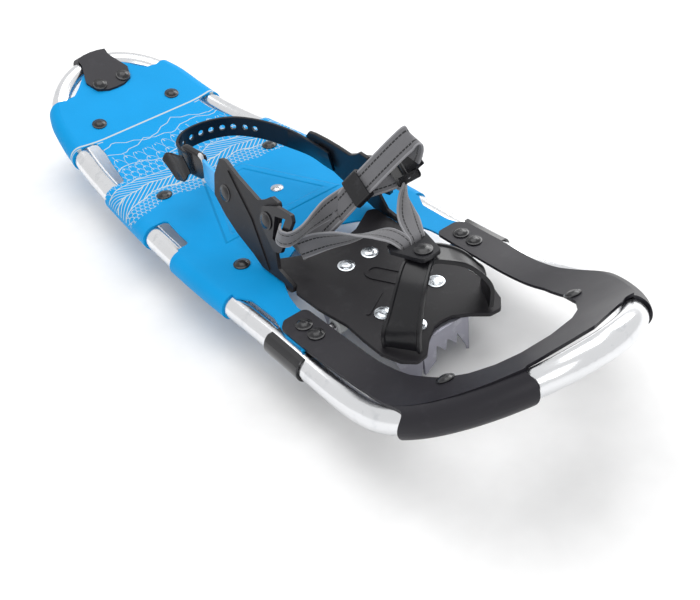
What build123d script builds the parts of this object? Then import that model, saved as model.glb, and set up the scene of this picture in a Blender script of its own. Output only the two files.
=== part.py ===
from build123d import *
import os
from math import cos, radians, sin, sqrt

os.makedirs("parts", exist_ok=True)

# ---------------------------------------------------------------------------
# Right-foot snowshoe with a bent tube frame, a wrapped deck and a pivoting
# binding.  Millimetres, +Z up, nose towards -Y, tail towards +Y, wearer's
# right (buckle side) towards -X.  The origin is on the ground under the
# middle of the frame, and the crampon tips stand on z = 0.
# ---------------------------------------------------------------------------

# Frame tube
TUBE_R = 9.0
TUBE_WALL = 1.3
TUBE_Z = 34.0          # centreline above the ground where the frame is flat
HALF_LENGTH = 308.5    # centreline, middle of the frame to the nose
NOSE_START = -153.6    # the nose starts to rise here
NOSE_RISE = 74.0
TAIL_START = 172.0     # the tail starts to rise here
TAIL_RISE = 39.4
# Half outline from nose to tail: (radius, turn in degrees), a negative radius
# bends the other way; the tail arc then closes the loop on the centreline.
OUTLINE = [(58, 35.8), (182, 21.5), (77, 37.1), (-1788, 4.9), (1294, 5.2), (2743, 3.84)]

# Sheets
GAP = 0.05             # between parts that lie against each other
RUN_GAP = 0.35         # between parts that move against each other
DECK_T = 1.6
TOE_T = 2.2
STRAP_T = 1.8
HALF_SPAN = 130.0      # wider than the frame, for cutting blanks
TALL = 220.0

# Rivets
SHANK_R = 2.0
HOLE_R = 2.05
SEAT = 0.12            # flat heads stand clear of the curved sheets
DECK_HEAD_R = 6.4

# Toe axle and binding
AXLE_Y = -117.0
AXLE_R = 4.0
AXLE_HALF = 78.4
BAND_HALF = 19.0
FOOT_T = 3.2
FOOT_SLOPE = 0.065
FOOT = Plane(origin=(0, -45, TUBE_Z + 11.8), x_dir=(1, 0, 0), z_dir=(0, -FOOT_SLOPE, 1))
ARM_LEAN = 13.0        # heel wings lean inwards, degrees
ARM_T = 3.0
WEB_T = 1.4
WEB_W = 18.5
NARROW_W = 15.5        # the fixed straps are narrower than the pull strap
RING_T = 3.0


def rise(y):
    """Height of the tube centreline above the flat middle."""
    if y < NOSE_START:
        return NOSE_RISE * ((NOSE_START - y) / (NOSE_START + HALF_LENGTH)) ** 2
    if y > TAIL_START:
        return TAIL_RISE * ((y - TAIL_START) / (HALF_LENGTH - TAIL_START)) ** 2
    return 0.0


def slope(y):
    """Slope of the tube centreline along Y."""
    step = 0.01
    return (rise(y + step) - rise(y - step)) / (2 * step)


def half_outline(steps):
    """Plan stations (x, y, heading) of the centreline, nose to tail, +X side."""
    x, y, heading = 0.0, -HALF_LENGTH, 0.0
    stations = [(x, y, heading)]
    arcs = [(r, radians(turn) if r > 0 else -radians(turn), steps) for r, turn in OUTLINE]
    arcs.append(None)
    for arc in arcs:
        if arc is None:
            arc = (x / sin(heading), radians(180) - heading, 3 * steps)
        r, bend, count = arc
        for i in range(count):
            a = heading + bend * i / count
            b = heading + bend * (i + 1) / count
            x += r * (sin(b) - sin(a))
            y += r * (cos(a) - cos(b))
            stations.append((x, y, b))
        heading += bend
    return stations


STATIONS = half_outline(4)


def tube_run(radius, stations):
    """A round rod along part of the frame's centreline."""
    with BuildPart() as rod:
        for x, y, h in stations:
            place = Plane(
                origin=(x, y, TUBE_Z + rise(y)),
                x_dir=(sin(h), -cos(h), 0),
                z_dir=(cos(h), sin(h), slope(y) * sin(h)),
            )
            with BuildSketch(place):
                Circle(radius)
        loft()
    return rod.part


def sleeve(inner, outer, stations):
    """A sleeve round the frame tube, on both sides of the snowshoe."""
    with BuildPart() as both:
        add(tube_run(outer, stations))
        add(tube_run(inner, stations), mode=Mode.SUBTRACT)
        mirror(about=Plane.YZ)
    return both.part


def on_surface(y, height):
    """(y, z) of a point at a normal distance above the centreline surface."""
    s = slope(y)
    n = sqrt(1 + s * s)
    return (y - height * s / n, TUBE_Z + rise(y) + height / n)


def surface_plane(x, y, height):
    """Plane lying on the sheet at (x, y), its normal pointing up."""
    py, pz = on_surface(y, height)
    return Plane(origin=(x, py, pz), x_dir=(1, 0, 0), z_dir=(0, -slope(y), 1))


def sheet_blank(bottom, thickness, y_low, y_high, step=15.0):
    """A sheet curved along Y only, following the frame's nose and tail."""
    count = int((y_high - y_low) / step)
    ys = [y_low + (y_high - y_low) * i / count for i in range(count + 1)]
    with BuildPart() as blank:
        with BuildSketch(Plane.YZ):
            with BuildLine():
                low = Spline([on_surface(y, bottom(y)) for y in ys])
                high = Spline([on_surface(y, bottom(y) + thickness) for y in ys])
                Line(low @ 0, high @ 0)
                Line(low @ 1, high @ 1)
            make_face()
        extrude(amount=HALF_SPAN, both=True)
    return blank.part


def plan_prism(half_points, corner=0.0):
    """A tall block whose plan is a half outline and its mirror image."""
    with BuildPart() as block:
        with BuildSketch():
            with BuildLine():
                Polyline(half_points, close=True)
            make_face()
            if corner:
                fillet([v for v in vertices() if 1 < v.X < 0.9 * HALF_SPAN], corner)
        extrude(amount=TALL)
        mirror(about=Plane.YZ)
    return block.part


def rivet_set(places, head_r, head_h, grip):
    """Rivets with a rimmed dome, a shank and a flat tail under the sheets."""
    with BuildPart() as group:
        for place in places:
            upright = Plane(place.origin, x_dir=place.x_dir, z_dir=-place.y_dir)
            with BuildSketch(upright):
                with BuildLine():
                    rim = 0.3 * head_h
                    Line((0, -grip), (SHANK_R, -grip))
                    Line((SHANK_R, -grip), (SHANK_R, 0))
                    Line((SHANK_R, 0), (head_r, 0))
                    Line((head_r, 0), (head_r, rim))
                    Line((head_r, rim), (0.82 * head_r, 1.35 * rim))
                    Spline((0.82 * head_r, 1.35 * rim), (0.5 * head_r, 0.86 * head_h), (0, head_h))
                    Line((0, head_h), (0, -grip))
                make_face()
            revolve(axis=Axis(place.origin, place.z_dir))
    return group.part


def rivet_holes(places, depth):
    """Clearance holes for a rivet set."""
    with BuildPart() as holes:
        for place in places:
            with BuildSketch(place.offset(-depth)):
                Circle(HOLE_R)
            extrude(amount=2 * depth)
    return holes.part


def save(part, name):
    """Label a finished piece and write its STEP file."""
    part.label = name
    export_step(part, "parts/" + name + ".step")


# ---------------------------------------------------------------------------
# Frame tube: one bent aluminium tube with a drain hole under the tail
# ---------------------------------------------------------------------------
with BuildPart() as frame_tube:
    add(sleeve(TUBE_R - TUBE_WALL, TUBE_R, STATIONS))
    tail_x, tail_y, tail_heading = STATIONS[-1]
    with BuildSketch(Plane(origin=(0, tail_y, TUBE_Z + rise(tail_y)), z_dir=(0, 0, -1))):
        Circle(1.5)
    extrude(amount=TUBE_R + 1, mode=Mode.SUBTRACT)
save(frame_tube.part, "frame_tube")

# The plan inside the tube's centreline bounds every sheet
inside_loop = plan_prism([(0, -HALF_LENGTH)] + [(x, y) for x, y, h in STATIONS[1:-1]] + [(0, tail_y)])

# ---------------------------------------------------------------------------
# Main deck: sheet with three wrapped tabs a side and an opening for the toe
# ---------------------------------------------------------------------------
DECK_LIFT = TUBE_R + GAP
DECK_TOP = DECK_LIFT + DECK_T
ARM_END = -132.0       # the side arms reach forward to here
OPENING_HALF = 64.0    # half width of the toe opening
OPENING_REACH = 73.0   # its round rear end, from OPENING_Y
OPENING_Y = -105.0

rear_edge = [(20, 288), (30, 279), (38, 273), (48, 272), (60, 275), (HALF_SPAN, 276)]
round_end = [
    (OPENING_HALF * cos(radians(a)), OPENING_Y + OPENING_REACH * sin(radians(a)))
    for a in range(0, 91, 10)
]
deck_region = plan_prism(
    [(0, 291)] + rear_edge + [(HALF_SPAN, ARM_END), (OPENING_HALF, ARM_END)] + round_end)
rear_gap = plan_prism([(53, 214), (54, 197), (58, 179), (65, 144), (HALF_SPAN, 142), (HALF_SPAN, 219)], 4)
front_gap = plan_prism([(71, 68), (74, 44), (75, 28), (HALF_SPAN, 24), (HALF_SPAN, 70)], 4)
arm_side = plan_prism(
    [(HALF_SPAN, -50), (97, -50), (87, -53), (81, -64), (81, -90), (84.5, -103), (87, -112),
     (87, -131), (HALF_SPAN, -131)], 3)

wrap_stations = [s for s in STATIONS if -75 < s[1] < 285]
tab_spans = [(-60, 25), (65, 145), (213, 277)]
with BuildPart() as tabs:
    add(sleeve(DECK_LIFT, DECK_TOP, wrap_stations))
    add(inside_loop, mode=Mode.SUBTRACT)
    with BuildSketch(mode=Mode.PRIVATE) as tab_zone:
        for low, high in tab_spans:
            for side in (-1, 1):
                with Locations((side * (HALF_SPAN + 40) / 2, (low + high) / 2)):
                    Rectangle(HALF_SPAN - 40, high - low)
    extrude(tab_zone.sketch, amount=TALL, mode=Mode.INTERSECT)

deck_rivets_at = [
    surface_plane(side * x, y, DECK_TOP + SEAT) for x, y in ((38, 236), (53, 100), (62, -24)) for side in (-1, 1)]
heel_rivets_at = [surface_plane(side * 17, 40, DECK_TOP) for side in (-1, 1)]
strap_rivets_at = [surface_plane(side * 12.2, 277, DECK_TOP + GAP + STRAP_T + SEAT) for side in (-1, 1)]

with BuildPart() as main_deck:
    add(sheet_blank(lambda y: DECK_LIFT, DECK_T, -150, 306))
    add(inside_loop, mode=Mode.INTERSECT)
    add(tabs.part)
    add(deck_region, mode=Mode.INTERSECT)
    add(rear_gap, mode=Mode.SUBTRACT)
    add(front_gap, mode=Mode.SUBTRACT)
    add(arm_side, mode=Mode.SUBTRACT)
    add(rivet_holes(deck_rivets_at + heel_rivets_at + strap_rivets_at, 8), mode=Mode.SUBTRACT)
    add(rivet_holes([surface_plane(s * 73, y, DECK_TOP) for s in (-1, 1) for y in (-114, -127.5)], 8),
        mode=Mode.SUBTRACT)
save(main_deck.part, "main_deck")

# ---------------------------------------------------------------------------
# Toe deck: stiff U plate over the deck's arms, wrapped round the nose corners
# ---------------------------------------------------------------------------
TOE_LIFT = DECK_TOP + GAP
TOE_EDGE_Y = -100.0
WINDOW_HALF = 46.0     # half width of the window that shows the nose tube
WRAP_END = -238.0      # the corner wraps end here, towards the tail


def toe_lift(y):
    """The plate rests on the arms at its ends and on the tube at the nose."""
    t = min(1.0, max(0.0, (-150 - y) / 50))
    return TOE_LIFT + (DECK_LIFT - TOE_LIFT) * t * t * (3 - 2 * t)


toe_outline = [(61, TOE_EDGE_Y), (80, TOE_EDGE_Y), (86, TOE_EDGE_Y - 6), (87, -140), (86, -175), (87, -195),
               (90, -215), (92, WRAP_END), (HALF_SPAN, WRAP_END), (HALF_SPAN, -330), (WINDOW_HALF + 4, -330),
               (WINDOW_HALF, -284), (36, -288), (0, -297), (0, -266), (22, -263), (36, -256), (47, -245),
               (55, -229), (60, -207), (61, -178)]
toe_region = plan_prism(toe_outline, 5)
corner_stations = [s for s in STATIONS if s[1] < -215 and s[0] > 25]
with BuildPart() as toe_wraps:
    add(sleeve(DECK_LIFT, DECK_LIFT + TOE_T, corner_stations))
    add(inside_loop, mode=Mode.SUBTRACT)

toe_end_rivets_at = [
    surface_plane(side * x, y, TOE_LIFT + TOE_T + SEAT) for x, y in ((73, -114), (73, -127.5)) for side in (-1, 1)]
toe_front_rivets_at = [surface_plane(side * 56, -240, DECK_LIFT + TOE_T + SEAT) for side in (-1, 1)]

with BuildPart() as toe_deck:
    add(sheet_blank(toe_lift, TOE_T, -318, -90, 8.0))
    add(inside_loop, mode=Mode.INTERSECT)
    add(toe_wraps.part)
    add(toe_region, mode=Mode.INTERSECT)
    add(rivet_holes(toe_end_rivets_at + toe_front_rivets_at, 8), mode=Mode.SUBTRACT)
save(toe_deck.part, "toe_deck")

# ---------------------------------------------------------------------------
# Tail strap: short plate riveted to the deck and wrapped round the tail
# ---------------------------------------------------------------------------
tail_region = plan_prism([(0, 330), (16, 330), (14, 298), (22, 279), (17.5, 268), (8, 264), (0, 263.5)], 3)
tail_stations = [s for s in STATIONS if s[1] > 280 and s[0] < 34]
with BuildPart() as tail_wrap:
    add(sleeve(DECK_LIFT, DECK_TOP + GAP + STRAP_T, tail_stations))
    add(inside_loop, mode=Mode.SUBTRACT)
with BuildPart() as tail_strap:
    add(sheet_blank(lambda y: DECK_TOP + GAP, STRAP_T, 255, 325, 7.0))
    add(inside_loop, mode=Mode.INTERSECT)
    add(tail_wrap.part)
    add(tail_region, mode=Mode.INTERSECT)
    add(rivet_holes(strap_rivets_at, 8), mode=Mode.SUBTRACT)
save(tail_strap.part, "tail_strap")

# ---------------------------------------------------------------------------
# Rivets through the sheets
# ---------------------------------------------------------------------------
save(rivet_set(deck_rivets_at, DECK_HEAD_R, 2.6, DECK_T + 2.5), "deck_rivets")
save(rivet_set(toe_end_rivets_at + toe_front_rivets_at, 6.0, 2.6, DECK_T + TOE_T + 1.2), "toe_deck_rivets")
save(rivet_set(strap_rivets_at, 6.6, 3.0, DECK_T + STRAP_T + 2.0), "tail_strap_rivets")
save(rivet_set(heel_rivets_at, 5.2, 1.8, DECK_T + 3.4), "heel_crampon_rivets")

# ---------------------------------------------------------------------------
# Heel crampon: a steel V under the heel with two toothed blades
# ---------------------------------------------------------------------------
BLADE_T = 2.2
HEEL_PLATE_TOP = TUBE_Z + DECK_LIFT - GAP


def saw(points, place, thickness):
    """A flat blade cut to a toothed outline on its own plane."""
    with BuildPart() as blade:
        with BuildSketch(place):
            with BuildLine():
                Polyline(points, close=True)
            make_face()
        extrude(amount=thickness)
    return blade.part


with BuildPart() as heel_crampon:
    with BuildSketch(Plane.XY.offset(HEEL_PLATE_TOP)):
        with BuildLine():
            Polyline([(-38, 12), (-38, 66), (38, 66), (38, 12), (28, 12), (10, 34), (-10, 34), (-28, 12)], close=True)
        make_face()
    extrude(amount=-BLADE_T)
    for side in (-1, 1):
        teeth = [(12, HEEL_PLATE_TOP), (12, 8), (17, 0), (23, 0), (27, 15), (33, 15), (37, 4), (42, 4),
                 (46, 15), (52, 15), (56, 0), (62, 0), (66, 8), (66, HEEL_PLATE_TOP)]
        add(saw(teeth, Plane.YZ.offset(side * 38), -side * BLADE_T))
    add(rivet_holes(heel_rivets_at, 8), mode=Mode.SUBTRACT)
save(heel_crampon.part, "heel_crampon")

# ---------------------------------------------------------------------------
# Toe axle: a steel rod across the opening, held by a band round each side tube
# ---------------------------------------------------------------------------
with BuildPart() as toe_axle:
    with BuildSketch(Plane(origin=(-AXLE_HALF, AXLE_Y, TUBE_Z), z_dir=(1, 0, 0))):
        Circle(AXLE_R)
    extrude(amount=2 * AXLE_HALF)
    chamfer(toe_axle.edges().filter_by(GeomType.CIRCLE), 0.6)
save(toe_axle.part, "toe_axle")

band_stations = []
for i in range(7):
    y = AXLE_Y - 2 - BAND_HALF + 2 * BAND_HALF * i / 6
    near = min(STATIONS, key=lambda st: abs(st[1] - y))
    before = max((st for st in STATIONS if st[1] <= y), key=lambda st: st[1])
    after = min((st for st in STATIONS if st[1] > y), key=lambda st: st[1])
    t = (y - before[1]) / (after[1] - before[1])
    band_stations.append((before[0] + t * (after[0] - before[0]), y, before[2] + t * (after[2] - before[2])))
BAND_T = 1.5
BAND_FIT = 0.2
with BuildPart() as bands:
    add(tube_run(TUBE_R + BAND_FIT + BAND_T, band_stations))
    with BuildSketch(Plane(origin=(AXLE_HALF - 3.5, AXLE_Y, TUBE_Z), z_dir=(1, 0, 0))):
        Circle(8.4)
    extrude(amount=10)
    add(tube_run(TUBE_R + BAND_FIT, band_stations), mode=Mode.SUBTRACT)
    with BuildSketch(Plane(origin=(AXLE_HALF - 8, AXLE_Y, TUBE_Z), z_dir=(1, 0, 0))):
        Circle(AXLE_R + GAP)
    extrude(amount=8 + GAP, mode=Mode.SUBTRACT)
    add(sheet_blank(lambda y: DECK_LIFT - GAP, 12, -150, -80, 10), mode=Mode.SUBTRACT)
save(bands.part, "pivot_band_left")
pivot_band_right = mirror(bands.part, about=Plane.YZ)
save(pivot_band_right, "pivot_band_right")

COLLAR_R = 8.6
for side, name in ((-1, "right"), (1, "left")):
    with BuildPart() as collar:
        with BuildSketch(Plane(origin=(side * 60, AXLE_Y, TUBE_Z), z_dir=(side, 0, 0))):
            Circle(COLLAR_R)
            Circle(COLLAR_R - 1.2, mode=Mode.SUBTRACT)
        extrude(amount=9)
    save(collar.part, "axle_collar_" + name)
    with BuildPart() as bushing:
        with BuildSketch(Plane(origin=(side * 59, AXLE_Y, TUBE_Z), z_dir=(side, 0, 0))):
            Circle(COLLAR_R - 1.25)
            Circle(AXLE_R + GAP, mode=Mode.SUBTRACT)
        extrude(amount=11)
        chamfer(bushing.edges().filter_by(GeomType.CIRCLE).sort_by(SortBy.RADIUS)[-2:], 0.8)
    save(bushing.part, "axle_bushing_" + name)
    with BuildPart() as nylon:
        with BuildSketch(Plane(origin=(side * 38, AXLE_Y, TUBE_Z), z_dir=(side, 0, 0))):
            Circle(6.5)
            Circle(AXLE_R + GAP, mode=Mode.SUBTRACT)
        extrude(amount=13)
        chamfer(nylon.edges().filter_by(GeomType.CIRCLE).sort_by(SortBy.RADIUS)[-2:], 1.0)
    save(nylon.part, "axle_sleeve_" + name)

# ---------------------------------------------------------------------------
# Footbed: moulded plate that pivots on the toe axle
# ---------------------------------------------------------------------------
foot_half = [(0, -13), (22, -9), (43, 3), (49.6, 0), (49.8, -30), (55, -36), (54, -60), (50, -85), (51, -104),
             (51, -122), (46, -136), (38, -144), (29, -143), (19, -134), (8, -127), (0, -126)]
footbed_rivets_uv = [(11, -38), (24.5, -94), (15, -118)]
foot_rivets_at = [
    Plane(origin=FOOT.from_local_coords((side * u, v, FOOT_T)), x_dir=FOOT.x_dir, z_dir=FOOT.z_dir)
    for u, v in footbed_rivets_uv for side in (-1, 1)][:-1]
with BuildPart() as footbed:
    with BuildSketch(FOOT):
        with BuildLine():
            Polyline(foot_half, close=True)
        make_face()
        mirror(about=Plane.YZ)
        fillet(vertices(), 4.0)
    extrude(amount=FOOT_T)
    rim = footbed.faces().sort_by(Axis.Z)[-1].edges()
    fillet(rim, 0.8)
    with BuildSketch(FOOT.offset(FOOT_T)):
        with Locations(Location((-22, -82), 28)):
            SlotOverall(26, 3)
        with Locations((6, -68)):
            SlotOverall(40, 16, rotation=120)
            SlotOverall(34, 10, rotation=120, mode=Mode.SUBTRACT)
    extrude(amount=0.7)
    add(rivet_holes(foot_rivets_at, 8), mode=Mode.SUBTRACT)
save(footbed.part, "footbed")
save(rivet_set(foot_rivets_at, 6.4, 1.9, FOOT_T + 2.4), "footbed_rivets")

# ---------------------------------------------------------------------------
# Toe crampon: steel claw under the footbed, carrying the axle
# ---------------------------------------------------------------------------
UNDER = FOOT.offset(-GAP)
with BuildPart() as toe_crampon:
    with BuildSketch(UNDER):
        with BuildLine():
            Polyline([(-36, -30), (-36, -112), (-21, -130), (21, -130), (36, -112), (36, -30), (18, -42), (-18, -42)],
                     close=True)
        make_face()
    extrude(amount=-BLADE_T)
    front_saw = [(-21, -1), (-21, -17), (-20, -31), (-10, -24), (-9, -11), (-1, -20), (1, -11), (9, -20),
                 (10, -11), (20, -31), (21, -17), (21, -1)]
    front = Plane(origin=FOOT.from_local_coords((0, -130, 0)), x_dir=(1, 0, 0), z_dir=(0, -1, 0))
    add(saw(front_saw, front, -BLADE_T))
    claw = [(0, -1), (1, -24), (3, -35), (14, -35), (22, -14), (23.4, -1)]
    corner = Plane(origin=FOOT.from_local_coords((21, -130, 0)), x_dir=(15, 18, 0), z_dir=(18, -15, 0))
    for side in (-1, 1):
        if side > 0:
            add(saw(claw, corner, -BLADE_T))
        else:
            add(mirror(saw(claw, corner, -BLADE_T), about=Plane.YZ))
        heel_claw = [(-112, -1), (-112, -18), (-104, -22), (-92, -22), (-88, -14), (-60, -14), (-56, -36), (-46, -38),
                     (-36, -20), (-30, -1)]
        flank = Plane(origin=FOOT.from_local_coords((side * 36, 0, 0)), x_dir=(0, 1, FOOT_SLOPE), z_dir=(1, 0, 0))
        add(saw(heel_claw, flank, -side * BLADE_T))
    with BuildSketch(Plane(origin=(-45, AXLE_Y, TUBE_Z), z_dir=(1, 0, 0))):
        Circle(AXLE_R + GAP)
    extrude(amount=90, mode=Mode.SUBTRACT)
    add(rivet_holes(foot_rivets_at, 8), mode=Mode.SUBTRACT)
save(toe_crampon.part, "toe_crampon")

# ---------------------------------------------------------------------------
# Heel wings: moulded arms that rise from the footbed's rear corners
# ---------------------------------------------------------------------------
lean = radians(ARM_LEAN)
ARM = Plane(origin=(51.5, -50, TUBE_Z + 11), x_dir=(0, 1, 0), z_dir=(cos(lean), 0, sin(lean)))
arm_outline = [(-27, -3), (-20, -3), (-16, 0.3), (10, 0.6), (22, 6), (44, 13.5), (60, 21.5), (75, 32), (76, 48),
               (70, 63), (63, 64), (48, 58), (34, 54), (20, 50), (12, 54), (5, 59), (-4, 58), (-6, 50), (-3, 24),
               (-8, 8), (-27, 3)]
RING_PIN = (4.5, 41.5)    # the instep ring's rivet, on the wing's plane
TAB_PIN = (61, 38.5)     # the heel strap's rivet, on the wing's plane
with BuildPart() as wing:
    with BuildSketch(ARM):
        with BuildLine():
            Polyline(arm_outline, close=True)
        make_face()
        fillet(vertices(), 2.5)
        with Locations(RING_PIN, TAB_PIN):
            Circle(HOLE_R, mode=Mode.SUBTRACT)
    extrude(amount=ARM_T)
    with BuildSketch(ARM.offset(ARM_T)):
        with BuildLine():
            Polyline((1, 3), (26, 33), (58, 58), (60, 55), (29, 30), (5, 3), close=True)
        make_face()
    extrude(amount=0.9)
save(wing.part, "heel_wing_left")
save(mirror(wing.part, about=Plane.YZ), "heel_wing_right")

RING_SEAT = ARM_T + RING_T + 2 * RUN_GAP
ring_pin_at = [Plane(origin=ARM.from_local_coords((*RING_PIN, RING_SEAT)), x_dir=ARM.x_dir, z_dir=ARM.z_dir)]
tab_pin_at = [Plane(origin=ARM.from_local_coords((*TAB_PIN, ARM_T)), x_dir=ARM.x_dir, z_dir=ARM.z_dir)]
ring_pin = rivet_set(ring_pin_at, 6.6, 1.6, RING_SEAT + 1.2)
save(ring_pin, "ring_rivet_left")
save(mirror(ring_pin, about=Plane.YZ), "ring_rivet_right")
tab_pin = rivet_set(tab_pin_at, 6.6, 1.6, ARM_T + 2.4)
save(tab_pin, "heel_rivet_left")
save(mirror(tab_pin, about=Plane.YZ), "heel_rivet_right")

# Instep ring: a triangle that swivels on the wing and holds the webbing
ring_plane = ARM.offset(ARM_T + RUN_GAP)
with BuildPart() as ring:
    with BuildSketch(ring_plane):
        with BuildLine():
            Polyline([(RING_PIN[0] + 8, RING_PIN[1] - 4), (RING_PIN[0] + 6, RING_PIN[1] + 9), (-6, 57), (-23, 57.5),
                      (-25, 53), (-14, 24), (-6, 22)], close=True)
        make_face()
        fillet(vertices(), 2.0)
        with BuildLine():
            Polyline([(-5, 49), (-17, 52), (-9.5, 30), (-4, 31)], close=True)
        make_face(mode=Mode.SUBTRACT)
        with Locations(RING_PIN):
            Circle(HOLE_R, mode=Mode.SUBTRACT)
    extrude(amount=RING_T)
save(ring.part, "instep_ring_left")
save(mirror(ring.part, about=Plane.YZ), "instep_ring_right")

# ---------------------------------------------------------------------------
# Toe wings: curved bands from the front lobes up to the toe ring
# ---------------------------------------------------------------------------
def ribbon(centres, across, widths, thick):
    """A flat band through its centre points, turned by its width directions."""
    last = len(centres) - 1
    with BuildPart() as strip:
        for i, centre in enumerate(centres):
            ahead = Vector(*centres[min(i + 1, last)])
            behind = Vector(*centres[max(i - 1, 0)])
            along = (ahead - behind).normalized()
            wide = Vector(*across[i])
            wide = (wide - along * wide.dot(along)).normalized()
            with BuildSketch(Plane(origin=centre, x_dir=wide, z_dir=along)):
                Rectangle(widths[i], thick)
        loft()
    return strip.part


TOE_RING = Plane(origin=(0, -156, TUBE_Z + 55.3), x_dir=(1, 0, 0), z_dir=(0, 0.05, 1))
toe_wing = ribbon(
    [(38.5, -174, TUBE_Z + 8.2), (39, -174.5, TUBE_Z + 18), (35, -174, TUBE_Z + 29), (24, -168.5, TUBE_Z + 44),
     (11, -160.5, TUBE_Z + 51.5), (1.5, -156, TUBE_Z + 53)],
    [(15, 24, 0), (15, 24, 0), (12, 22, -4), (11, 18, -3), (10, 15, 0), (5, 18, 0)],
    [27, 27, 25, 22, 20, 18], 2.4)
toe_pin_at = [TOE_RING.offset(RING_T + RUN_GAP)]
with BuildPart() as toe_wing_drilled:
    add(toe_wing)
    with BuildSketch(Plane.YZ):
        with Locations((-156, TUBE_Z + 53)):
            Rectangle(60, 60)
    extrude(amount=0.1, both=True, mode=Mode.SUBTRACT)
    with BuildSketch(Plane.YZ.offset(-0.1)):
        with Locations((-156, TUBE_Z + 53)):
            Rectangle(60, 60)
    extrude(amount=-20, mode=Mode.SUBTRACT)
    add(rivet_holes(toe_pin_at, 12), mode=Mode.SUBTRACT)
save(toe_wing_drilled.part, "toe_wing_left")
save(mirror(toe_wing_drilled.part, about=Plane.YZ), "toe_wing_right")

# ---------------------------------------------------------------------------
# Toe ring: swivels on the toe wings' joint and turns the webbing back
# ---------------------------------------------------------------------------
with BuildPart() as toe_ring:
    with BuildSketch(TOE_RING):
        with BuildLine():
            Polyline([(-8, -8.5), (8, -8.5), (15.5, 16), (13, 22), (-13, 22), (-15.5, 16)], close=True)
        make_face()
        fillet(vertices(), 3.0)
        with BuildLine():
            Polyline([(-9.5, 10), (9.5, 10), (10.5, 16.5), (-10.5, 16.5)], close=True)
        make_face(mode=Mode.SUBTRACT)
        Circle(HOLE_R, mode=Mode.SUBTRACT)
    extrude(amount=RING_T)
save(toe_ring.part, "toe_ring")
save(rivet_set(toe_pin_at, 6.4, 1.8, RING_T + 5.6), "toe_ring_rivet")

# ---------------------------------------------------------------------------
# Webbing: flat woven straps, modelled plain where they lie
# ---------------------------------------------------------------------------
FLAT = (0, -0.96, -0.28)
UPRIGHT = (-0.21, 0.29, -0.93)
instep_strap = ribbon(
    [(-47.4, -60.0, 84.5), (-28, -60, 87), (-10, -63, 92.5), (11.2, -80, 100.4), (25, -93.5, 105)],
    [UPRIGHT, UPRIGHT, (-0.2, 0.3, -0.93), (0, -0.9, -0.4), FLAT], [13] + [NARROW_W] * 4, WEB_T)
save(instep_strap, "instep_strap")
pull_strap = ribbon(
    [(-30, -56, 60), (-12, -73, 86), (3, -87, 107.5), (16, -99, 127), (27, -110, 142)],
    [FLAT] * 5, [WEB_W] * 5, WEB_T)
save(pull_strap, "pull_strap")
return_strap = ribbon(
    [(32.5, -113, 141), (36, -109.5, 134.5)], [FLAT] * 2, [NARROW_W] * 2, WEB_T)
save(return_strap, "return_strap")
toe_strap = ribbon(
    [(33, -104, 99), (25, -113, 96), (10, -129, 93)],
    [(0.7, 0.7, -0.1), (0.8, 0.55, -0.1), (0.95, 0.2, 0)], [NARROW_W, NARROW_W, 14], WEB_T)
save(toe_strap, "toe_strap")
cross_strap = ribbon(
    [(-5, -129, 91), (-9, -112, 87), (-16, -84, 74), (-34, -66, 66)],
    [(1, 0.1, 0), (1, -0.3, 0), (0.5, -0.8, -0.3), (0.2, -0.7, -0.7)], [14] + [NARROW_W] * 3, WEB_T)
save(cross_strap, "cross_strap")

anchor_strap = ribbon(
    [(47.4, -60.0, 84.5), (41, -62, 87), (37.5, -72, 93), (38, -86, 102)],
    [(0.2, 0.29, -0.93), (0.2, 0.1, -0.95), (0, -0.6, -0.8), (0, -0.8, -0.55)], [13, 13, 14, 14], WEB_T)
save(anchor_strap, "anchor_strap")

STRAP_ALONG = Vector(60, -57, 87).normalized()
STRAP_UP = STRAP_ALONG.cross(Vector(*FLAT)).normalized()
if STRAP_UP.Z < 0:
    STRAP_UP = -STRAP_UP
KEEPER = Plane(origin=(3, -87, 107.5), x_dir=STRAP_ALONG.cross(STRAP_UP), z_dir=STRAP_ALONG)
with BuildPart() as strap_keeper:
    with BuildSketch(KEEPER):
        RectangleRounded(WEB_W + 4, 6.6, 2.5)
        RectangleRounded(WEB_W + 1.2, 4.2, 1.2, mode=Mode.SUBTRACT)
    extrude(amount=7, both=True)
save(strap_keeper.part, "strap_keeper")

# Cam buckle: body, pin and sprung lever that bites the strap
CAM_ALONG = Vector(24, -10, 8).normalized()
CAM_UP = CAM_ALONG.cross(Vector(*FLAT)).normalized()
if CAM_UP.Z < 0:
    CAM_UP = -CAM_UP
CAM = Plane(origin=(35.5, -98, 112.5), x_dir=CAM_ALONG, z_dir=CAM_UP)
with BuildPart() as cam_body:
    with BuildSketch(CAM):
        RectangleRounded(18, 23, 2)
    extrude(amount=1.6)
    with BuildSketch(CAM.offset(1.6)):
        with Locations((0, -10.4), (0, 10.4)):
            Rectangle(14, 2.2)
    extrude(amount=6.6)
    with BuildSketch(Plane(origin=CAM.from_local_coords((0, -12, 5)), x_dir=CAM.x_dir, z_dir=CAM.y_dir)):
        Circle(1.05)
    extrude(amount=24, mode=Mode.SUBTRACT)
save(cam_body.part, "cam_buckle_body")
pin_at = Plane(origin=CAM.from_local_coords((0, -11.4, 5)), x_dir=CAM.x_dir, z_dir=CAM.y_dir)
with BuildPart() as cam_pin:
    with BuildSketch(pin_at):
        Circle(1.0)
    extrude(amount=22.8)
save(cam_pin.part, "cam_buckle_pin")
lever_at = Plane(origin=CAM.from_local_coords((0, -8.9, 5)), x_dir=CAM.x_dir, z_dir=CAM.y_dir)
with BuildPart() as cam_lever:
    with BuildSketch(lever_at):
        Circle(2.6)
        with BuildLine():
            Polyline([(0, -2.4), (13, -6.4), (13.6, -4.0), (2, 1.6)], close=True)
        make_face()
        Circle(1.06, mode=Mode.SUBTRACT)
    extrude(amount=17.8)
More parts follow.
